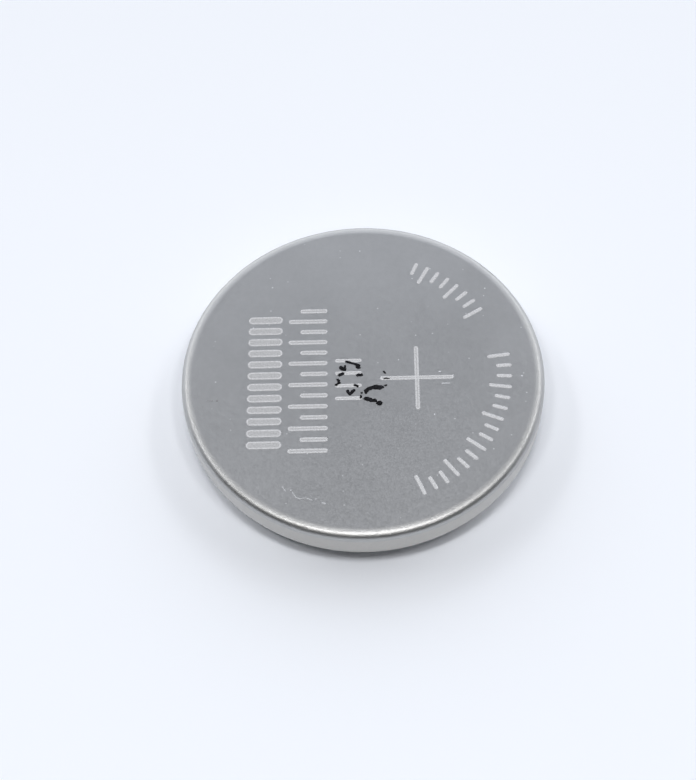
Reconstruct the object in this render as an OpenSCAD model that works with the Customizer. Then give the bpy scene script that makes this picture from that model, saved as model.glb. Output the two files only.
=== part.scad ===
// Rechargeable lithium coin cell, 2032 size.
// Stands on its negative cap: origin at the centre of the cap's flat contact,
// +Z up through the closed end of the positive can.
// Every piece is a revolve about Z, so each is drawn as its right-hand section.

/* [Cell] */
// Outside diameter of the cell
cell_d = 20; // [16:0.1:30]
// Height from the negative contact to the positive face
cell_h = 3.2; // [2.65:0.05:7.7]
// Clearance left between the faces of neighbouring pieces
fit_gap = 0.02; // [0.01:0.005:0.03]

/* [Positive can] */
// Sheet thickness of the can
can_t = 0.25; // [0.15:0.01:0.3]
// Outside corner radius at the closed end
can_corner_r = 0.4; // [0.35:0.05:0.8]
// Outside radius of the gentle crown that leads from the flat face into the corner
can_crown_r = 2; // [1:0.1:2.5]
// How far the crown turns down before the corner takes over
can_crown_turn = 8; // [2:1:15]
// Outside radius of the lip that is curled in over the gasket
curl_r = 1.2; // [1:0.05:1.3]
// How far the curled lip turns past level, towards the inside
curl_past = 0; // [-10:1:15]
// Height of the curled lip above the negative contact
curl_lift = 0.55; // [0.45:0.01:0.6]

/* [Negative cap] */
// Sheet thickness of the cap
cap_t = 0.25; // [0.15:0.01:0.3]
// Outside radius at the edge of the flat contact
cap_edge_r = 0.4; // [0.35:0.01:0.42]
// Outside radius where the shoulder turns into the skirt
cap_shoulder_r = 0.6; // [0.5:0.01:0.65]
// Hollow radius where the riser meets the shoulder
cap_fillet_r = 0.15; // [0.05:0.01:0.2]

/* [Sealing gasket] */
// Thickness of the gasket between the cap's skirt and the can's wall
gasket_wall_t = 0.31; // [0.25:0.01:0.4]
// Thickness of the gasket squeezed between the curled lip and the shoulder
gasket_nip_t = 0.18; // [0.16:0.01:0.3]
// Thickness of the foot under the edge of the skirt
gasket_foot_t = 0.3; // [0.2:0.01:0.4]
// Thickness of the inner wall of the groove that takes the skirt
gasket_inner_t = 0.3; // [0.2:0.01:0.4]
// Height of that inner wall, foot included
gasket_inner_h = 0.85; // [0.5:0.05:1]
// Width of the gasket that shows between the lip and the cap
gasket_show_w = 0.3; // [0.25:0.01:0.5]
// How far the gasket's bead lies behind the lip's lowest point
gasket_recess = 0.17; // [0.1:0.01:0.2]

/* [Electrodes] */
// How far the anode stands above the cap's shoulder, inside the cell
anode_proud = 0; // [0:0.05:0.3]
// Radial space round the anode inside the cap's riser
anode_space = 0.45; // [0.3:0.05:1]
// Thickness of the separator
separator_t = 0.2; // [0.1:0.01:0.25]
// Height of the separator's turned-up rim
separator_rim_h = 0.5; // [0.2:0.05:0.6]
// Outside corner radius of the separator's rim
separator_corner_r = 0.3; // [0.26:0.01:0.4]
// Radial space between the separator and the gasket
stack_space = 0.29; // [0.1:0.01:0.6]
// Sheet thickness of the cathode's collector ring
ring_t = 0.2; // [0.1:0.01:0.25]
// Width of the ring's flange on the floor of the can
ring_flange_w = 1.3; // [0.6:0.1:2]
// How far the pellet stands out of its ring
pellet_proud = 0.15; // [0.1:0.01:0.25]
// Bevel on the pressed edges of the pellet
pellet_bevel = 0.08; // [0.02:0.01:0.09]

/* [Hidden] */
$fn = 128;

// Positive can
can_r = cell_d / 2;
can_bore_r = can_r - can_t;
can_floor_z = cell_h - can_t;
corner_off_crown = can_crown_r - can_corner_r;
crown_at = [can_r - can_corner_r - corner_off_crown * sin(can_crown_turn), cell_h - can_crown_r];
corner_at = crown_at + corner_off_crown * [sin(can_crown_turn), cos(can_crown_turn)];
curl_at = [can_r - curl_r, curl_lift + curl_r];
lip_end_r = curl_at.x - curl_r * sin(curl_past);
lip_edge_r = curl_at.x - (curl_r - can_t) * sin(curl_past);

// Negative cap: its skirt and shoulder lie one gasket thickness inside the can
skirt_r = can_bore_r - gasket_wall_t - 2 * fit_gap;
skirt_end_z = can_floor_z - gasket_foot_t - 2 * fit_gap;
shoulder_z = curl_lift + can_t + gasket_nip_t + 2 * fit_gap;
shoulder_at = [skirt_r - cap_shoulder_r, shoulder_z + cap_shoulder_r];
riser_r = lip_end_r - gasket_show_w;
edge_at = [riser_r - cap_edge_r, cap_edge_r];
fillet_at = [riser_r + cap_fillet_r, shoulder_z - cap_fillet_r];

// Sealing gasket
groove_r = skirt_r - cap_t - fit_gap;
gasket_bore_r = groove_r - gasket_inner_t;
bead_r = (lip_edge_r - riser_r) / 2 + 2 * fit_gap;
bead_at = [(lip_edge_r + riser_r) / 2, curl_lift + gasket_recess + bead_r];

// Electrode stack, from the cap up to the floor of the can
anode_r = riser_r - cap_t - anode_space;
anode_low_z = cap_t + fit_gap;
anode_top_z = shoulder_z + cap_t + anode_proud;
separator_low_z = anode_top_z + fit_gap;
separator_top_z = separator_low_z + separator_t;
separator_r = gasket_bore_r - stack_space;
ring_r = separator_r - separator_t - fit_gap;
ring_hole_r = ring_r - ring_flange_w;
ring_end_z = separator_top_z + pellet_proud;
pellet_r = ring_r - ring_t - fit_gap;

// Rectangle of a section, from its low corner to its high corner.
module plate(low, high)
{
    translate(low) square(high - low);
}

// Round of a section, about a centre.
module disc(centre, r)
{
    translate(centre) circle(r);
}

// Filled outline of the can, grown by g, or shrunk where g is negative.
module can_outline(g)
{
    plate([0, curl_at.y], [can_r + g, corner_at.y]);
    plate([0, curl_at.y], [crown_at.x, cell_h + g]);
    disc(corner_at, can_corner_r + g);
    intersection() {
        disc(crown_at, can_crown_r + g);
        translate(crown_at) rotate(-can_crown_turn) plate([-can_r, 0], [0, can_r]);
        plate([0, curl_at.y], [can_r, cell_h + g]);
    }
    plate([0, curl_lift - g], [curl_at.x, curl_at.y]);
    disc(curl_at, curl_r + g);
}

// Filled outline of the cap with all it covers, grown or shrunk in the same way.
module cap_outline(g)
{
    plate([0, -g], [edge_at.x, cell_h]);
    plate([0, edge_at.y], [riser_r + g, cell_h]);
    disc(edge_at, cap_edge_r + g);
    plate([0, shoulder_z - g], [shoulder_at.x, cell_h]);
    plate([0, shoulder_at.y], [skirt_r + g, cell_h]);
    disc(shoulder_at, cap_shoulder_r + g);
    difference() {
        plate([edge_at.x, fillet_at.y], [fillet_at.x, shoulder_at.y]);
        disc(fillet_at, cap_fillet_r - g);
    }
}

// Curled part of the can's lip, from the wall round to its edge. Its faces move
// out by g, and its cut edge moves with them.
module curled_lip(g = 0)
{
    reach = 2 * curl_r;
    turn = curl_past + g / curl_r * 180 / PI;
    difference() {
        disc(curl_at, curl_r + g);
        disc(curl_at, curl_r - can_t - g);
        translate(curl_at) plate([-reach, 0], [reach, reach]);
        translate(curl_at) rotate(-turn) plate([-reach, -reach], [0, reach]);
    }
}

// Can: drawn cup whose mouth is curled in over the gasket and the cap.
module positive_can()
{
    color("silver") rotate_extrude() {
        difference() {
            can_outline(0);
            can_outline(-can_t);
            plate([0, 0], [can_r, curl_at.y]);
        }
        curled_lip();
    }
}

// Gasket: fills the space between can and cap, with a groove for the skirt.
module sealing_gasket()
{
    color("dimgray") rotate_extrude() {
        difference() {
            union() {
                intersection() {
                    can_outline(-can_t - fit_gap);
                    plate([lip_edge_r, 0], [can_r, cell_h]);
                }
                plate([riser_r, bead_at.y], [curl_at.x, shoulder_at.y]);
                disc(bead_at, bead_r);
            }
            cap_outline(fit_gap);
            curled_lip(fit_gap);
        }
        intersection() {
            can_outline(-can_t - fit_gap);
            union() {
                plate([gasket_bore_r, can_floor_z - gasket_foot_t - fit_gap], [can_r, cell_h]);
                plate([gasket_bore_r, can_floor_z - gasket_inner_h], [groove_r, cell_h]);
            }
        }
    }
}

// Cap: stepped cup. The flat contact stands proud, the skirt sits in the gasket.
module negative_cap()
{
    color("lightgray") rotate_extrude() difference() {
        cap_outline(0);
        cap_outline(-cap_t);
        plate([0, skirt_end_z], [can_r, cell_h]);
    }
}

// Collector ring: an L-shaped steel hoop that holds the pellet to the can.
module cathode_ring()
{
    color("gray") rotate_extrude() {
        plate([ring_r - ring_t, ring_end_z], [ring_r, can_floor_z - fit_gap]);
        plate([ring_hole_r, can_floor_z - fit_gap - ring_t], [ring_r, can_floor_z - fit_gap]);
    }
}

// Cathode pellet: pressed tablet, rebated for the flange of its ring.
module cathode_pellet()
{
    low_z = separator_top_z + fit_gap;
    high_z = can_floor_z - fit_gap;
    rebate_z = high_z - ring_t - fit_gap;
    hub_r = ring_hole_r - fit_gap;
    color("#2E2D2F") rotate_extrude() polygon([
        [0, low_z],
        [pellet_r - pellet_bevel, low_z],
        [pellet_r, low_z + pellet_bevel],
        [pellet_r, rebate_z],
        [hub_r, rebate_z],
        [hub_r, high_z],
        [0, high_z]
    ]);
}

// Filled outline of the separator's dish, grown or shrunk by g.
module dish_outline(g)
{
    corner_at = [separator_r - separator_corner_r, separator_low_z + separator_corner_r];
    plate([0, separator_low_z - g], [corner_at.x, cell_h]);
    plate([0, corner_at.y], [separator_r + g, cell_h]);
    disc(corner_at, separator_corner_r + g);
}

// Separator: non-woven dish between the electrodes, its rim round the pellet.
module separator()
{
    color("white") rotate_extrude() difference() {
        dish_outline(0);
        dish_outline(-separator_t);
        plate([0, separator_top_z + separator_rim_h], [can_r, cell_h]);
    }
}

// Anode: punched disc that lies against the inside of the cap.
module anode_disc()
{
    color("darkgray") translate([0, 0, anode_low_z])
        cylinder(r = anode_r, h = anode_top_z - anode_low_z);
}

positive_can();
sealing_gasket();
negative_cap();
cathode_ring();
cathode_pellet();
separator();
anode_disc();
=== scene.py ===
"""Looks, light and camera for a rechargeable lithium coin cell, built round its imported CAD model.

The cell stands on its negative cap with the positive face up. All lengths below are in
millimetres and go through MM on their way into the scene, which is in metres.
"""
import math
import random

import bmesh
import bpy
from mathutils import Matrix, Vector


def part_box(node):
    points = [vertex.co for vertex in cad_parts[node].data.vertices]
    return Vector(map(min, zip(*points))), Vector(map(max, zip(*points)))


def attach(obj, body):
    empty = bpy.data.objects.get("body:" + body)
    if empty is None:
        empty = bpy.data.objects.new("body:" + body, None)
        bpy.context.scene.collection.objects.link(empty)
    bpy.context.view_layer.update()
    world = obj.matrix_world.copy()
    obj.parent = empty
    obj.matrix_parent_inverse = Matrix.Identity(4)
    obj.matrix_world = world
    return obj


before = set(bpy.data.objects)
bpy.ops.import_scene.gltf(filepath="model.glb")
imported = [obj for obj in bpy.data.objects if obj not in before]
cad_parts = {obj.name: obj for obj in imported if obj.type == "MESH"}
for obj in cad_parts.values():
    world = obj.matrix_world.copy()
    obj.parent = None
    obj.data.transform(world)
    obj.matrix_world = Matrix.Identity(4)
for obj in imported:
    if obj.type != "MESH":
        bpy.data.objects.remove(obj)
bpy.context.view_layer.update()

MM = 0.001
CELL_LOW, CELL_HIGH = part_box("positive_can")
CONTACT_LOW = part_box("negative_cap")[0]
CELL_R = CELL_HIGH.x / MM
FACE_Z = CELL_HIGH.z / MM
TABLE_Z = CONTACT_LOW.z / MM

# The can's section: a crown leads from the flat face into the corner, and the lip curls in.
CORNER_R = 0.4
CROWN_R = 2.0
CROWN_TURN = math.radians(8)
CORNER_AT_R = CELL_R - CORNER_R
CORNER_AT_Z = FACE_Z - CROWN_R + (CROWN_R - CORNER_R) * math.cos(CROWN_TURN)
CROWN_AT_R = CORNER_AT_R - (CROWN_R - CORNER_R) * math.sin(CROWN_TURN)
CURL_R = 1.2
CURL_AT_R = CELL_R - CURL_R
CURL_AT_Z = CELL_LOW.z / MM + CURL_R

RUBBED_W = 0.6         # the die has rubbed the face this far in from the wall
FULLY_RUBBED_W = 0.3   # and fully from here outwards
IRONING_FADE = 0.15    # below the corner, where the ironed wall begins


# ---------------------------------------------------------------- helpers

def linear(hex_colour):
    """An sRGB hex colour as the linear RGBA that Blender's sockets take."""
    channels = [int(hex_colour[i:i + 2], 16) / 255 for i in (1, 3, 5)]
    red, green, blue = (c / 12.92 if c <= 0.04045 else ((c + 0.055) / 1.055) ** 2.4
                        for c in channels)
    return red, green, blue, 1


def per_metre(size_mm):
    """The texture scale at which a pattern repeats once in size_mm."""
    return 1 / (size_mm * MM)


def add_node(tree, kind, settings=None, links=None):
    """Adds a node to a tree, sets its properties and sockets, and links others into it."""
    new = tree.nodes.new(kind)
    for name, value in (settings or {}).items():
        if isinstance(name, int) or name in new.inputs:
            new.inputs[name].default_value = value
        else:
            setattr(new, name, value)
    for name, source in (links or {}).items():
        tree.links.new(source, new.inputs[name])
    return new


def new_material(name):
    """An empty node material with its output and shader, and its place in the row frame."""
    material = bpy.data.materials.new(name)
    material.use_nodes = True
    tree = material.node_tree
    tree.nodes.clear()
    place = add_node(tree, "ShaderNodeTexCoord").outputs["Object"]
    shader = add_node(tree, "ShaderNodeBsdfPrincipled")
    add_node(tree, "ShaderNodeOutputMaterial", links={"Surface": shader.outputs["BSDF"]})
    return material, tree, place, shader


def drawn_section_normal(tree, across, radius, height):
    """The normal of the can's drawn section, from the flat face over the crown, the corner and
    the wall to the lip. The mesh has long facets there, and this keeps the drawn rounds smooth."""
    out = add_node(tree, "ShaderNodeMath",
                   {"operation": "SUBTRACT", 1: CORNER_AT_R * MM}, {0: radius})
    up = add_node(tree, "ShaderNodeMapRange",
                  {"From Min": CORNER_AT_Z * MM, "From Max": FACE_Z * MM,
                   "To Min": 0, "To Max": (FACE_Z - CORNER_AT_Z) * MM}, {"Value": height})
    corner_tilt = add_node(tree, "ShaderNodeMath", {"operation": "ARCTAN2"},
                           {0: out.outputs["Value"], 1: up.outputs["Result"]})
    crown_rise = add_node(tree, "ShaderNodeMapRange",
                          {"From Min": CROWN_AT_R * MM, "From Max": (CROWN_AT_R + CROWN_R) * MM},
                          {"Value": radius})
    crown_tilt = add_node(tree, "ShaderNodeMath", {"operation": "ARCSINE"},
                          {0: crown_rise.outputs["Result"]})
    closed_end = add_node(tree, "ShaderNodeMath", {"operation": "MAXIMUM"},
                          {0: corner_tilt.outputs["Value"], 1: crown_tilt.outputs["Value"]})
    over_curl = add_node(tree, "ShaderNodeMath",
                         {"operation": "SUBTRACT", 1: CURL_AT_R * MM}, {0: radius})
    under_wall = add_node(tree, "ShaderNodeMapRange",
                          {"From Min": (CURL_AT_Z - CURL_R) * MM, "From Max": CURL_AT_Z * MM,
                           "To Min": CURL_R * MM, "To Max": 0}, {"Value": height})
    curl_tilt = add_node(tree, "ShaderNodeMath", {"operation": "ARCTAN2"},
                         {0: under_wall.outputs["Result"], 1: over_curl.outputs["Value"]})
    tilt = add_node(tree, "ShaderNodeMath", {"operation": "ADD"},
                    {0: closed_end.outputs["Value"], 1: curl_tilt.outputs["Value"]})
    lean = add_node(tree, "ShaderNodeMath", {"operation": "SINE"}, {0: tilt.outputs["Value"]})
    rise = add_node(tree, "ShaderNodeMath", {"operation": "COSINE"}, {0: tilt.outputs["Value"]})
    outward = add_node(tree, "ShaderNodeVectorMath", {"operation": "NORMALIZE"}, {0: across})
    leaning = add_node(tree, "ShaderNodeVectorMath", {"operation": "SCALE"},
                       {0: outward.outputs["Vector"], "Scale": lean.outputs["Value"]})
    rising = add_node(tree, "ShaderNodeCombineXYZ", links={"Z": rise.outputs["Value"]})
    drawn = add_node(tree, "ShaderNodeVectorMath", {"operation": "ADD"},
                     {0: leaning.outputs["Vector"], 1: rising.outputs["Vector"]})

    # It holds on the outside of the can. On the inside the mesh's own normal stays.
    meshed = add_node(tree, "ShaderNodeNewGeometry")
    agreement = add_node(tree, "ShaderNodeVectorMath", {"operation": "DOT_PRODUCT"},
                         {0: drawn.outputs["Vector"], 1: meshed.outputs["Normal"]})
    outside = add_node(tree, "ShaderNodeMapRange", {"From Min": 0.4, "From Max": 0.5},
                       {"Value": agreement.outputs["Value"]})
    normal = add_node(tree, "ShaderNodeMix", {"data_type": "VECTOR"},
                      {0: outside.outputs["Result"], 4: meshed.outputs["Normal"],
                       5: drawn.outputs["Vector"]})
    return normal.outputs[1]


# ---------------------------------------------------------------- materials

def matte_rolled_nickel():
    """Nickel-plated steel sheet from matte rolls: an even grey with a very fine grain, faint
    clouds from handling and pale pin-head specks. The die has dragged the sheet where it bent
    it, which makes the edge glitter, and has ironed the wall smoother and a shade warmer."""
    material, tree, place, shader = new_material("matte_rolled_nickel")

    # The die has rubbed the sheet from the crown of the face outwards, and ironed the wall.
    across = add_node(tree, "ShaderNodeVectorMath",
                      {"operation": "MULTIPLY", 1: (1, 1, 0)}, {0: place})
    radius = add_node(tree, "ShaderNodeVectorMath", {"operation": "LENGTH"},
                      {0: across.outputs["Vector"]})
    burnish = add_node(tree, "ShaderNodeMapRange",
                       {"From Min": (CELL_R - RUBBED_W) * MM,
                        "From Max": (CELL_R - FULLY_RUBBED_W) * MM},
                       {"Value": radius.outputs["Value"]})
    height = add_node(tree, "ShaderNodeSeparateXYZ", links={"Vector": place})
    ironed = add_node(tree, "ShaderNodeMapRange",
                      {"From Min": (CORNER_AT_Z - IRONING_FADE) * MM,
                       "From Max": CORNER_AT_Z * MM, "To Min": 1, "To Max": 0},
                      {"Value": height.outputs["Z"]})

    # Clouds 4.5 mm wide from handling, and a finer mottle of 0.3 mm from the plating.
    clouds = add_node(tree, "ShaderNodeTexNoise",
                      {"Scale": per_metre(4.5), "Detail": 3.0, "Roughness": 0.55},
                      {"Vector": place})
    cloudiness = add_node(tree, "ShaderNodeMapRange", {"From Min": 0.3, "From Max": 0.7},
                          {"Value": clouds.outputs["Fac"]})
    cloudy = add_node(tree, "ShaderNodeMix",
                      {"data_type": "RGBA", 6: linear("#B4B5B7"), 7: linear("#BBBCBE")},
                      {0: cloudiness.outputs["Result"]})
    rubbed_tint = add_node(tree, "ShaderNodeMix", {"data_type": "RGBA", 7: linear("#BCBCBB")},
                           {0: burnish.outputs["Result"], 6: cloudy.outputs[2]})
    ironed_tint = add_node(tree, "ShaderNodeMix", {"data_type": "RGBA", 7: linear("#C3C1BD")},
                           {0: ironed.outputs["Result"], 6: rubbed_tint.outputs[2]})
    mottle = add_node(tree, "ShaderNodeTexNoise",
                      {"Scale": per_metre(0.3), "Detail": 2.0, "Roughness": 0.6},
                      {"Vector": place})
    mottling = add_node(tree, "ShaderNodeMapRange",
                        {"From Min": 0.3, "From Max": 0.7, "To Min": 0.96, "To Max": 1.0},
                        {"Value": mottle.outputs["Fac"]})
    base = add_node(tree, "ShaderNodeMix",
                    {"data_type": "RGBA", "blend_type": "MULTIPLY", 0: 1.0},
                    {6: ironed_tint.outputs[2], 7: mottling.outputs["Result"]})

    # Pale specks 0.07 mm across on the face, in about one of four places 1 mm apart.
    specks = add_node(tree, "ShaderNodeTexVoronoi",
                      {"voronoi_dimensions": "2D", "Scale": per_metre(1.0)}, {"Vector": place})
    speck_dots = add_node(tree, "ShaderNodeMapRange",
                          {"From Min": 0.025, "From Max": 0.055, "To Min": 1, "To Max": 0},
                          {"Value": specks.outputs["Distance"]})
    drawn = add_node(tree, "ShaderNodeSeparateColor", links={"Color": specks.outputs["Color"]})
    kept = add_node(tree, "ShaderNodeMapRange", {"From Min": 0.7, "From Max": 1.0},
                    {"Value": drawn.outputs["Red"]})
    on_face = add_node(tree, "ShaderNodeMapRange",
                       {"From Min": 0, "From Max": 0.5, "To Min": 1, "To Max": 0},
                       {"Value": burnish.outputs["Result"]})
    pale = add_node(tree, "ShaderNodeMath", {"operation": "MULTIPLY"},
                    {0: speck_dots.outputs["Result"], 1: kept.outputs["Result"]})
    pale_on_face = add_node(tree, "ShaderNodeMath", {"operation": "MULTIPLY"},
                            {0: pale.outputs["Value"], 1: on_face.outputs["Result"]})
    colour = add_node(tree, "ShaderNodeMix", {"data_type": "RGBA", 7: linear("#EEEFF1")},
                      {0: pale_on_face.outputs["Value"], 6: base.outputs[2]})
    tree.links.new(colour.outputs[2], shader.inputs["Base Color"])

    # The rolled grain is about 0.03 mm; drawn at 0.09 mm so that it shows.
    grain = add_node(tree, "ShaderNodeTexNoise",
                     {"Scale": per_metre(0.09), "Detail": 2.0, "Roughness": 0.6},
                     {"Vector": place})
    rolled = add_node(tree, "ShaderNodeMapRange",
                      {"From Min": 0.3, "From Max": 0.7, "To Min": 0.36, "To Max": 0.42},
                      {"Value": grain.outputs["Fac"]})
    rubbed = add_node(tree, "ShaderNodeMapRange",
                      {"From Min": 0.3, "From Max": 0.7, "To Min": 0.39, "To Max": 0.45},
                      {"Value": grain.outputs["Fac"]})
    rolled_or_rubbed = add_node(tree, "ShaderNodeMix", {"data_type": "FLOAT"},
                                {0: burnish.outputs["Result"], 2: rolled.outputs["Result"],
                                 3: rubbed.outputs["Result"]})
    roughness = add_node(tree, "ShaderNodeMix", {"data_type": "FLOAT", 3: 0.3},
                         {0: ironed.outputs["Result"], 2: rolled_or_rubbed.outputs[0]})
    tree.links.new(roughness.outputs[0], shader.inputs["Roughness"])
    round_normal = drawn_section_normal(tree, across.outputs["Vector"],
                                        radius.outputs["Value"], height.outputs["Z"])
    rolled_bump = add_node(tree, "ShaderNodeBump", {"Strength": 0.5, "Distance": 0.002 * MM},
                           {"Height": grain.outputs["Fac"], "Normal": round_normal})

    # The die leaves a coarser drag, 0.12 mm from ridge to ridge, and less of it on the wall.
    drag = add_node(tree, "ShaderNodeTexNoise",
                    {"Scale": per_metre(0.12), "Detail": 3.0, "Roughness": 0.65},
                    {"Vector": place})
    left_by_ironing = add_node(tree, "ShaderNodeMapRange", {"To Min": 1, "To Max": 0.25},
                               {"Value": ironed.outputs["Result"]})
    drag_strength = add_node(tree, "ShaderNodeMath", {"operation": "MULTIPLY"},
                             {0: burnish.outputs["Result"],
                              1: left_by_ironing.outputs["Result"]})
    drag_bump = add_node(tree, "ShaderNodeBump", {"Distance": 0.018 * MM},
                         {"Strength": drag_strength.outputs["Value"],
                          "Height": drag.outputs["Fac"],
                          "Normal": rolled_bump.outputs["Normal"]})
    tree.links.new(drag_bump.outputs["Normal"], shader.inputs["Normal"])
    shader.inputs["Metallic"].default_value = 1.0
    return material


def matte_rolled_stainless():
    """Plain stainless sheet from matte rolls: a shade warmer than nickel, with a fine grain."""
    material, tree, place, shader = new_material("matte_rolled_stainless")
    clouds = add_node(tree, "ShaderNodeTexNoise",
                      {"Scale": per_metre(3.0), "Detail": 3.0}, {"Vector": place})
    colour = add_node(tree, "ShaderNodeMix",
                      {"data_type": "RGBA", 6: linear("#B4B4B2"), 7: linear("#C3C3C1")},
                      {0: clouds.outputs["Fac"]})
    tree.links.new(colour.outputs[2], shader.inputs["Base Color"])
    grain = add_node(tree, "ShaderNodeTexNoise",
                     {"Scale": per_metre(0.09), "Detail": 2.0}, {"Vector": place})
    roughness = add_node(tree, "ShaderNodeMapRange",
                         {"From Min": 0.3, "From Max": 0.7, "To Min": 0.32, "To Max": 0.42},
                         {"Value": grain.outputs["Fac"]})
    tree.links.new(roughness.outputs["Result"], shader.inputs["Roughness"])
    bump = add_node(tree, "ShaderNodeBump", {"Strength": 0.5, "Distance": 0.002 * MM},
                    {"Height": grain.outputs["Fac"]})
    tree.links.new(bump.outputs["Normal"], shader.inputs["Normal"])
    shader.inputs["Metallic"].default_value = 1.0
    return material


def laser_etched_nickel(name, dark_hex, pale_hex, roughness=0.72):
    """Nickel roughened by a marking laser: it scatters light, so it reads paler than the
    sheet. The laser's pulses leave a mottle of 0.08 mm."""
    material, tree, place, shader = new_material(name)
    pulses = add_node(tree, "ShaderNodeTexNoise",
                      {"Scale": per_metre(0.08), "Detail": 2.0}, {"Vector": place})
    pulsing = add_node(tree, "ShaderNodeMapRange", {"From Min": 0.3, "From Max": 0.7},
                       {"Value": pulses.outputs["Fac"]})
    colour = add_node(tree, "ShaderNodeMix",
                      {"data_type": "RGBA", 6: linear(dark_hex), 7: linear(pale_hex)},
                      {0: pulsing.outputs["Result"]})
    tree.links.new(colour.outputs[2], shader.inputs["Base Color"])
    bump = add_node(tree, "ShaderNodeBump", {"Strength": 0.6, "Distance": 0.004 * MM},
                    {"Height": pulses.outputs["Fac"]})
    tree.links.new(bump.outputs["Normal"], shader.inputs["Normal"])
    shader.inputs["Metallic"].default_value = 1.0
    shader.inputs["Roughness"].default_value = roughness
    return material


def ground_in_dust():
    """Grey dust pressed into the sheet: dull, a shade darker than the metal round it."""
    material, tree, place, shader = new_material("ground_in_dust")
    grit = add_node(tree, "ShaderNodeTexNoise",
                    {"Scale": per_metre(0.1), "Detail": 2.0}, {"Vector": place})
    colour = add_node(tree, "ShaderNodeMix",
                      {"data_type": "RGBA", 6: linear("#848486"), 7: linear("#949496")},
                      {0: grit.outputs["Fac"]})
    tree.links.new(colour.outputs[2], shader.inputs["Base Color"])
    shader.inputs["Roughness"].default_value = 0.8
    return material


def dried_black_ink():
    """Dried marking ink: a dead matte black, a little greyer where it lies thin."""
    material, tree, place, shader = new_material("dried_black_ink")
    blots = add_node(tree, "ShaderNodeTexNoise",
                     {"Scale": per_metre(0.15), "Detail": 3.0}, {"Vector": place})
    thinness = add_node(tree, "ShaderNodeMapRange", {"From Min": 0.45, "From Max": 0.75},
                        {"Value": blots.outputs["Fac"]})
    colour = add_node(tree, "ShaderNodeMix",
                      {"data_type": "RGBA", 6: linear("#0A0A0D"), 7: linear("#26262C")},
                      {0: thinness.outputs["Result"]})
    tree.links.new(colour.outputs[2], shader.inputs["Base Color"])
    roughness = add_node(tree, "ShaderNodeMapRange",
                         {"From Min": 0.3, "From Max": 0.7, "To Min": 0.6, "To Max": 0.8},
                         {"Value": blots.outputs["Fac"]})
    tree.links.new(roughness.outputs["Result"], shader.inputs["Roughness"])
    shader.inputs["Specular IOR Level"].default_value = 0.12
    return material


def moulded_polypropylene():
    """Black polypropylene, injection moulded: dull, with a faint waxy sheen."""
    material, tree, place, shader = new_material("moulded_polypropylene")
    flow = add_node(tree, "ShaderNodeTexNoise",
                    {"Scale": per_metre(0.6), "Detail": 2.0}, {"Vector": place})
    colour = add_node(tree, "ShaderNodeMix",
                      {"data_type": "RGBA", 6: linear("#1E1E20"), 7: linear("#2C2C2F")},
                      {0: flow.outputs["Fac"]})
    tree.links.new(colour.outputs[2], shader.inputs["Base Color"])
    roughness = add_node(tree, "ShaderNodeMapRange",
                         {"From Min": 0.3, "From Max": 0.7, "To Min": 0.5, "To Max": 0.62},
                         {"Value": flow.outputs["Fac"]})
    tree.links.new(roughness.outputs["Result"], shader.inputs["Roughness"])
    shader.inputs["IOR"].default_value = 1.49
    return material


def bright_stainless_strip():
    """Bright-annealed stainless strip, pressed to a ring: smooth, with light die lines."""
    material, tree, place, shader = new_material("bright_stainless_strip")
    lines = add_node(tree, "ShaderNodeTexNoise",
                     {"Scale": per_metre(0.25), "Detail": 2.0}, {"Vector": place})
    colour = add_node(tree, "ShaderNodeMix",
                      {"data_type": "RGBA", 6: linear("#B2B2B0"), 7: linear("#C6C6C4")},
                      {0: lines.outputs["Fac"]})
    tree.links.new(colour.outputs[2], shader.inputs["Base Color"])
    roughness = add_node(tree, "ShaderNodeMapRange",
                         {"From Min": 0.3, "From Max": 0.7, "To Min": 0.22, "To Max": 0.32},
                         {"Value": lines.outputs["Fac"]})
    tree.links.new(roughness.outputs["Result"], shader.inputs["Roughness"])
    shader.inputs["Metallic"].default_value = 1.0
    return material


def pressed_manganese_oxide():
    """Manganese oxide and carbon powder pressed to a tablet: black, dry and grainy."""
    material, tree, place, shader = new_material("pressed_manganese_oxide")
    powder = add_node(tree, "ShaderNodeTexNoise",
                      {"Scale": per_metre(0.12), "Detail": 4.0}, {"Vector": place})
    colour = add_node(tree, "ShaderNodeMix",
                      {"data_type": "RGBA", 6: linear("#1A1A1B"), 7: linear("#3A3939")},
                      {0: powder.outputs["Fac"]})
    tree.links.new(colour.outputs[2], shader.inputs["Base Color"])
    bump = add_node(tree, "ShaderNodeBump", {"Strength": 0.8, "Distance": 0.01 * MM},
                    {"Height": powder.outputs["Fac"]})
    tree.links.new(bump.outputs["Normal"], shader.inputs["Normal"])
    shader.inputs["Roughness"].default_value = 0.9
    return material


def spunbonded_fleece():
    """Non-woven polypropylene fleece: soft white, mottled by its crossing fibres."""
    material, tree, place, shader = new_material("spunbonded_fleece")
    fibres = add_node(tree, "ShaderNodeTexVoronoi",
                      {"Scale": per_metre(0.3), "feature": "DISTANCE_TO_EDGE"},
                      {"Vector": place})
    shade = add_node(tree, "ShaderNodeMapRange", {"From Min": 0.0, "From Max": 0.15},
                     {"Value": fibres.outputs["Distance"]})
    colour = add_node(tree, "ShaderNodeMix",
                      {"data_type": "RGBA", 6: linear("#F2F1EC"), 7: linear("#DEDDD6")},
                      {0: shade.outputs["Result"]})
    tree.links.new(colour.outputs[2], shader.inputs["Base Color"])
    bump = add_node(tree, "ShaderNodeBump",
                    {"Strength": 0.6, "Distance": 0.01 * MM, "invert": True},
                    {"Height": shade.outputs["Result"]})
    tree.links.new(bump.outputs["Normal"], shader.inputs["Normal"])
    shader.inputs["Roughness"].default_value = 0.85
    return material


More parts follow.
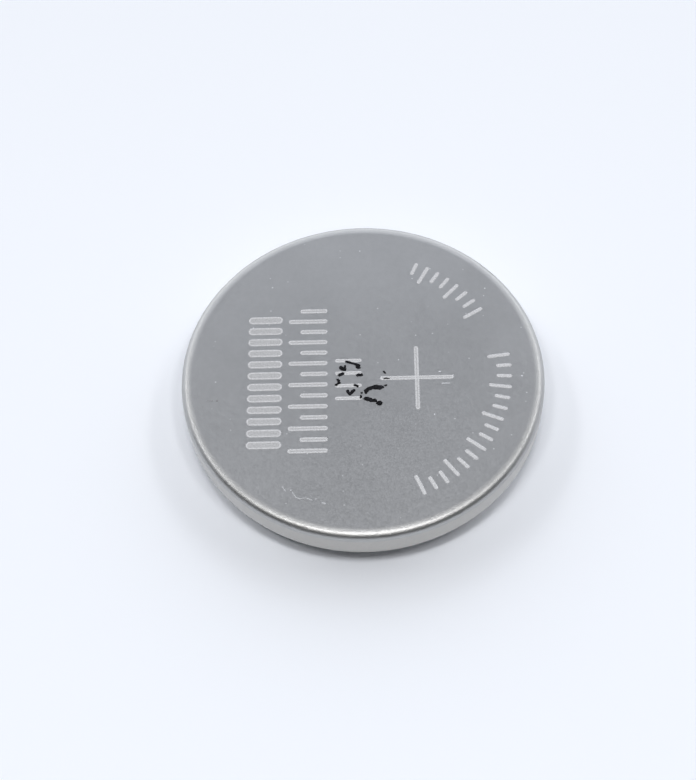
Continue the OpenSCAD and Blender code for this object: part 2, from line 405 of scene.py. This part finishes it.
def dull_lithium_aluminium():
    """Lithium-aluminium alloy disc: a dull grey metal, slightly mottled where it has alloyed."""
    material, tree, place, shader = new_material("dull_lithium_aluminium")
    mottle = add_node(tree, "ShaderNodeTexNoise",
                      {"Scale": per_metre(0.8), "Detail": 4.0}, {"Vector": place})
    mottling = add_node(tree, "ShaderNodeMapRange", {"From Min": 0.3, "From Max": 0.7},
                        {"Value": mottle.outputs["Fac"]})
    colour = add_node(tree, "ShaderNodeMix",
                      {"data_type": "RGBA", 6: linear("#8C8C8E"), 7: linear("#A9A9AA")},
                      {0: mottling.outputs["Result"]})
    tree.links.new(colour.outputs[2], shader.inputs["Base Color"])
    roughness = add_node(tree, "ShaderNodeMapRange",
                         {"From Min": 0.3, "From Max": 0.7, "To Min": 0.5, "To Max": 0.7},
                         {"Value": mottle.outputs["Fac"]})
    tree.links.new(roughness.outputs["Result"], shader.inputs["Roughness"])
    shader.inputs["Metallic"].default_value = 0.9
    return material


def pale_table_paper():
    """Smooth white table paper: matte, with a very slight unevenness 30 mm across."""
    material, tree, place, shader = new_material("pale_table_paper")
    tooth = add_node(tree, "ShaderNodeTexNoise",
                     {"Scale": per_metre(30.0), "Detail": 1.0}, {"Vector": place})
    colour = add_node(tree, "ShaderNodeMix",
                      {"data_type": "RGBA", 6: linear("#F1F4FA"), 7: linear("#F2F5FB")},
                      {0: tooth.outputs["Fac"]})
    tree.links.new(colour.outputs[2], shader.inputs["Base Color"])
    shader.inputs["Roughness"].default_value = 1.0
    shader.inputs["Specular IOR Level"].default_value = 0.0
    return material


# ---------------------------------------------------------------- relief on the positive face

SUNK = 0.01          # how far each relief piece reaches down into the face
SIDE_STEP = 0.1      # spacing of the points along a stroke
OUTLINE_PASS_AND_SHEEN = 0.06     # width of the paler outline: the laser's second pass, and a painted highlight for the light its sloped edge catches
CAP_STEPS = 6        # points round a quarter of a stroke's end
SHARPEST = 0.015     # a ring narrower than this is left out

# Relief across a stroke: distance in from its outline, and height above the face.
ETCHED_RIDGES = [(0.0, 0.0), (0.035, 0.012), (0.09, 0.004), (0.13, 0.009), (0.17, 0.004),
                 (0.21, 0.008)]
INK_DOME = [(0.0, 0.0), (0.012, 0.015), (0.05, 0.018), (0.1, 0.02)]
BURR_DOME = [(0.0, 0.0), (0.008, 0.006), (0.03, 0.009)]


def outline(start, end, radius):
    """Points round a straight stroke with round ends, radius to each side of its middle line."""
    along = end - start
    length = along.length
    direction = along.normalized() if length > 0 else Vector((1, 0))
    across = Vector((-direction.y, direction.x))
    steps = max(1, round(length / SIDE_STEP))
    points = []
    for side, tip in ((1, end), (-1, start)):
        first, last = (start, end) if side == 1 else (end, start)
        points += [first.lerp(last, i / steps) + across * radius * side for i in range(steps)]
        for i in range(2 * CAP_STEPS):
            angle = math.pi / 2 - math.pi * i / (2 * CAP_STEPS)
            turned = direction * math.cos(angle) + across * math.sin(angle)
            points.append(tip + turned * radius * side)
    return points


def add_stroke(mesh, start, end, width, relief, unevenness, chance):
    """Adds one closed stroke to a bmesh: a flat base in the face, then rings that climb the relief.
    Faces more than OUTLINE_PASS_AND_SHEEN in from the outline take the second, darker material, so
    the outline is paler: partly the laser's second pass, partly a painted highlight."""
    start, end = Vector(start), Vector(end)
    half = width / 2
    rings = [(half, -SUNK)]
    rings += [(half - inset, height) for inset, height in relief if half - inset > SHARPEST]
    wobble = None
    previous = None
    inner = 0
    for radius, height in rings:
        points = outline(start, end, radius)
        if wobble is None:
            wobble = [chance.uniform(-1, 1) for _ in points]
        centre = (start + end) / 2
        ring = []
        for point, shake in zip(points, wobble):
            away = (point - centre).normalized()
            lift = chance.uniform(0.85, 1.15) if height > 0 else 1.0
            place = point + away * shake * unevenness * radius / half
            ring.append(mesh.verts.new(Vector((place.x, place.y, FACE_Z + height * lift)) * MM))
        count = len(ring)
        if previous is None:
            base = ring
        else:
            for i in range(count):
                j = (i + 1) % count
                side = mesh.faces.new((previous[i], previous[j], ring[j], ring[i]))
                side.material_index = inner
        inner = 1 if radius <= half - OUTLINE_PASS_AND_SHEEN else 0
        previous = ring
    mesh.faces.new(list(reversed(base)))
    mesh.faces.new(previous).material_index = inner


def relief_piece(name, strokes, relief, materials, unevenness=0.006, seed=1):
    """Makes one piece of all its strokes, each given as (start, end, width), and rides it on
    the cell."""
    chance = random.Random(seed)
    mesh = bmesh.new()
    for start, end, width in strokes:
        add_stroke(mesh, start, end, width, relief, unevenness, chance)
    bmesh.ops.triangulate(mesh, faces=[f for f in mesh.faces if len(f.verts) > 4])
    bmesh.ops.recalc_face_normals(mesh, faces=mesh.faces)
    data = bpy.data.meshes.new(name)
    mesh.to_mesh(data)
    mesh.free()
    for material in materials:
        data.materials.append(material)
    piece = bpy.data.objects.new(name, data)
    bpy.context.scene.collection.objects.link(piece)
    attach(piece, "root")
    return piece


def polar(radius, degrees):
    """A point on the face by its distance from the centre and its angle."""
    angle = math.radians(degrees)
    return Vector((radius * math.cos(angle), radius * math.sin(angle)))


def row_of_bars(first_y, last_y, count, low_x, high_xs, width):
    """Bars side by side up the face, from low_x to each high_xs in turn, from first_y to last_y."""
    strokes = []
    for i in range(count):
        y = first_y + (last_y - first_y) * i / (count - 1)
        strokes.append(((low_x, y), (high_xs[i % len(high_xs)], y), width))
    return strokes


def dial_ticks(outer_r, lengths, first_deg, last_deg, count, width):
    """Ticks like those round a dial, from outer_r inwards by each of lengths in turn."""
    strokes = []
    for i in range(count):
        angle = first_deg + (last_deg - first_deg) * i / (count - 1)
        inner_r = outer_r - lengths[i % len(lengths)]
        strokes.append((polar(outer_r, angle), polar(inner_r, angle), width))
    return strokes


def etch_positive_face():
    """The polarity sign, and plain bars and ticks, where such a cell has its marks."""
    # The outline is paler than the fill: the laser's second pass, and a painted highlight for the
    # light a sloped groove edge catches.
    etched = [laser_etched_nickel("laser_outline_and_sheen_nickel", "#C4C4C5", "#DADADB"),
              laser_etched_nickel("laser_filled_nickel", "#B4B4B5", "#C7C7C8")]
    sign_at, sign_arm, sign_w = Vector((2.98, -0.38)), 1.9, 0.24
    arms = [(sign_at - Vector((sign_arm, 0)), sign_at + Vector((sign_arm, 0)), sign_w),
            (sign_at - Vector((0, sign_arm)), sign_at + Vector((0, sign_arm)), sign_w)]
    relief_piece("etched_plus_sign", arms, ETCHED_RIDGES, etched, seed=11)
    wide = row_of_bars(-4.4, 3.55, 12, -4.65, [-6.1], 0.46)
    relief_piece("etched_wide_bars", wide, ETCHED_RIDGES, etched, seed=12)
    thin = row_of_bars(-4.8, 4.1, 14, -2.05, [-3.95, -3.3], 0.27)
    relief_piece("etched_thin_bars", thin, ETCHED_RIDGES, etched, seed=13)
    short = row_of_bars(-1.6, 0.8, 4, -0.15, [-1.4], 0.22)
    relief_piece("etched_short_bars", short, ETCHED_RIDGES, etched, seed=16)
    long_arc = dial_ticks(8.1, [1.05, 0.65, 0.65], -67, 7, 16, 0.21)
    relief_piece("etched_long_scale", long_arc, ETCHED_RIDGES, etched, seed=14)
    short_arc = dial_ticks(7.8, [1.05, 0.65, 0.65], 31, 66, 8, 0.21)
    relief_piece("etched_short_scale", short_arc, ETCHED_RIDGES, etched, seed=15)


def dab_dried_ink():
    """Dried ink, left in broken dabs over the short bars and beside the plus sign."""
    hair, thin, broad = 0.11, 0.16, 0.24
    dabs = [
        # A bar with a blunt end, and the dabs beside it.
        ((-0.88, 0.74), (-0.18, 0.48), thin), ((-0.26, 0.38), (-0.22, 0.36), broad),
        ((-1.16, 0.33), (-1.0, 0.26), broad), ((-1.18, 0.44), (-1.16, 0.4), hair),
        ((-0.97, 0.46), (-0.96, 0.4), hair), ((-1.26, -0.11), (-1.07, -0.03), 0.19),
        ((-1.36, -0.41), (-1.3, -0.47), thin), ((-1.28, -0.62), (-1.45, -0.74), thin),
        ((-1.33, -0.5), (-1.34, -0.58), hair), ((-0.27, -0.15), (-0.07, -0.13), 0.2),
        # A crumpled dab lower down, with specks round it.
        ((-0.43, -0.79), (-0.28, -0.86), thin), ((-0.83, -1.13), (-0.73, -1.32), thin),
        ((-0.71, -1.33), (-0.5, -1.12), 0.2), ((-0.06, -1.27), (-0.05, -1.3), hair),
        ((-0.1, -1.47), (-0.12, -1.6), hair),
        # Two broad smears that part like a wishbone.
        ((0.17, -1.26), (0.16, -1.15), 0.2), ((0.21, -1.14), (0.36, -1.02), broad),
        ((0.42, -1.0), (0.67, -0.92), broad), ((0.68, -0.93), (0.96, -0.96), 0.3),
        ((0.98, -0.92), (1.08, -0.93), 0.18), ((1.23, -0.84), (1.29, -0.84), hair),
        ((0.16, -1.64), (0.4, -1.73), 0.24), ((0.42, -1.75), (0.66, -1.78), 0.23),
        ((0.88, -1.95), (0.92, -1.96), 0.31),
        # Flecks on the sign's left arm.
        ((1.16, 0.04), (1.24, -0.04), hair), ((1.2, -0.4), (1.43, -0.41), hair),
    ]
    relief_piece("dried_ink", dabs, INK_DOME, [dried_black_ink()], 0.03, seed=21)


def wear_positive_face():
    """Handling marks: a broken scratch near the left edge, a few pale flecks and a dark one."""
    burr = [laser_etched_nickel("raised_burr_nickel", "#B6B7B9", "#C4C5C7", 0.55)]
    scratch = [((-4.34, -6.91), (-4.15, -7.19), 0.06), ((-3.89, -7.13), (-3.87, -7.15), 0.08),
               ((-3.81, -7.24), (-3.61, -7.54), 0.05), ((-3.6, -7.56), (-3.42, -7.65), 0.06),
               ((-3.4, -7.65), (-3.12, -7.59), 0.05), ((-3.1, -7.6), (-2.77, -7.73), 0.06),
               ((-2.56, -7.67), (-2.54, -7.67), 0.08), ((-2.23, -7.91), (-2.04, -7.93), 0.07)]
    relief_piece("burr_scratch", scratch, BURR_DOME, burr, 0.01, seed=31)
    bright = [laser_etched_nickel("bright_fleck_nickel", "#D2D3D6", "#E8E9EC")]
    flecks = [((8.71, -0.42), (8.73, -0.42), 0.09), ((4.34, -0.78), (4.77, -0.79), 0.05),
              ((4.2, -0.03), (4.3, -0.03), 0.05), ((3.85, -2.73), (3.87, -2.72), 0.07)]
    relief_piece("pale_flecks", flecks, BURR_DOME, bright, 0.01, seed=32)
    dark = [((-8.48, -1.56), (-8.21, -1.57), 0.06), ((-7.98, -1.58), (-7.93, -1.58), 0.1)]
    relief_piece("dust_fleck", dark, BURR_DOME, [ground_in_dust()], 0.01, seed=33)


# ---------------------------------------------------------------- the set

TABLE_HALF = 1200     # from the middle of the table to its edges
LAMPS_Z = 300         # every softbox hangs at this height


def make_table():
    """A plain pale table, wide enough to fill the view from any side."""
    half = TABLE_HALF * MM
    mesh = bmesh.new()
    corners = [(-half, -half), (half, -half), (half, half), (-half, half)]
    mesh.faces.new([mesh.verts.new((x, y, TABLE_Z * MM)) for x, y in corners])
    data = bpy.data.meshes.new("table")
    mesh.to_mesh(data)
    mesh.free()
    data.materials.append(pale_table_paper())
    table = bpy.data.objects.new("table", data)
    bpy.context.scene.collection.objects.link(table)


def hang_softbox(name, x, y, size, radiance):
    """A softbox that hangs level, cloth down. Its power follows from the brightness of its
    cloth."""
    lamp = bpy.data.lights.new(name, "AREA")
    lamp.shape = "RECTANGLE"
    lamp.size, lamp.size_y = (side * MM for side in size)
    lamp.energy = radiance * math.pi * lamp.size * lamp.size_y
    softbox = bpy.data.objects.new(name, lamp)
    softbox.location = Vector((x, y, LAMPS_Z)) * MM
    bpy.context.scene.collection.objects.link(softbox)


def light_the_set():
    """Three softboxes overhead, a little forward of the cell, a dimmer cloth high on each side,
    a small glow in front, and pale walls that reach halfway up and are brightest behind the
    cell. The front is open and dark."""
    hang_softbox("overhead_softbox", 0, -36, (60, 38), 31.5)
    hang_softbox("left_softbox", -78, -72, (40, 40), 27.0)
    hang_softbox("right_softbox", 86, -72, (40, 40), 27.0)
    hang_softbox("left_cloth", -213, 130, (60, 215), 5.5)
    hang_softbox("right_cloth", 213, 130, (60, 215), 5.5)
    hang_softbox("front_glow", 6, -238, (72, 44), 6.0)
    world = bpy.data.worlds.new("tent_walls")
    world.use_nodes = True
    tree = world.node_tree
    tree.nodes.clear()
    direction = add_node(tree, "ShaderNodeTexCoord").outputs["Generated"]
    axes = add_node(tree, "ShaderNodeSeparateXYZ", links={"Vector": direction})
    front_to_back = add_node(tree, "ShaderNodeMapRange",
                             {"From Min": -0.25, "From Max": 0.8,
                              "To Min": 0.03, "To Max": 1.72}, {"Value": axes.outputs["Y"]})
    wall_to_roof = add_node(tree, "ShaderNodeMapRange",
                            {"From Min": 0.74, "From Max": 0.8, "To Min": 1, "To Max": 0},
                            {"Value": axes.outputs["Z"]})
    strength = add_node(tree, "ShaderNodeMath", {"operation": "MULTIPLY"},
                        {0: front_to_back.outputs["Result"],
                         1: wall_to_roof.outputs["Result"]})
    cloth = add_node(tree, "ShaderNodeBackground", {"Color": linear("#EEF2F9")},
                     {"Strength": strength.outputs["Value"]})
    add_node(tree, "ShaderNodeOutputWorld", links={"Surface": cloth.outputs["Background"]})
    bpy.context.scene.world = world


def place_camera():
    """A 73 mm lens close above the near side, turned a little so that the cell leans in the
    frame."""
    azimuth, elevation, roll = math.radians(2.3), math.radians(59.6), math.radians(-3.26)
    aim = Vector((-0.843, -0.142, (TABLE_Z + FACE_Z) / 2))
    distance = 88.3
    back = Vector((math.sin(azimuth) * math.cos(elevation),
                   -math.cos(azimuth) * math.cos(elevation), math.sin(elevation)))
    level_right = Vector((math.cos(azimuth), math.sin(azimuth), 0))
    level_up = back.cross(level_right)
    right = level_right * math.cos(roll) + level_up * math.sin(roll)
    up = level_up * math.cos(roll) - level_right * math.sin(roll)
    lens = bpy.data.cameras.new("camera")
    lens.lens = 73.05
    lens.sensor_width = 36
    lens.clip_start = 1 * MM
    lens.clip_end = 2.0
    camera = bpy.data.objects.new("camera", lens)
    turn = Matrix((right, up, back)).transposed().to_4x4()
    camera.matrix_world = Matrix.Translation((aim + back * distance) * MM) @ turn
    bpy.context.scene.collection.objects.link(camera)
    bpy.context.scene.camera = camera


def finish_cad_nodes():
    """Gives each CAD node its real material."""
    finishes = {
        "positive_can": matte_rolled_nickel(),
        "negative_cap": matte_rolled_stainless(),
        "sealing_gasket": moulded_polypropylene(),
        "cathode_ring": bright_stainless_strip(),
        "cathode_pellet": pressed_manganese_oxide(),
        "separator": spunbonded_fleece(),
        "anode_disc": dull_lithium_aluminium(),
    }
    for name, material in finishes.items():
        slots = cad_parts[name].material_slots
        for slot in slots:
            slot.material = material


finish_cad_nodes()
etch_positive_face()
dab_dried_ink()
wear_positive_face()
make_table()
light_the_set()
place_camera()
bpy.context.scene.view_settings.view_transform = "Standard"
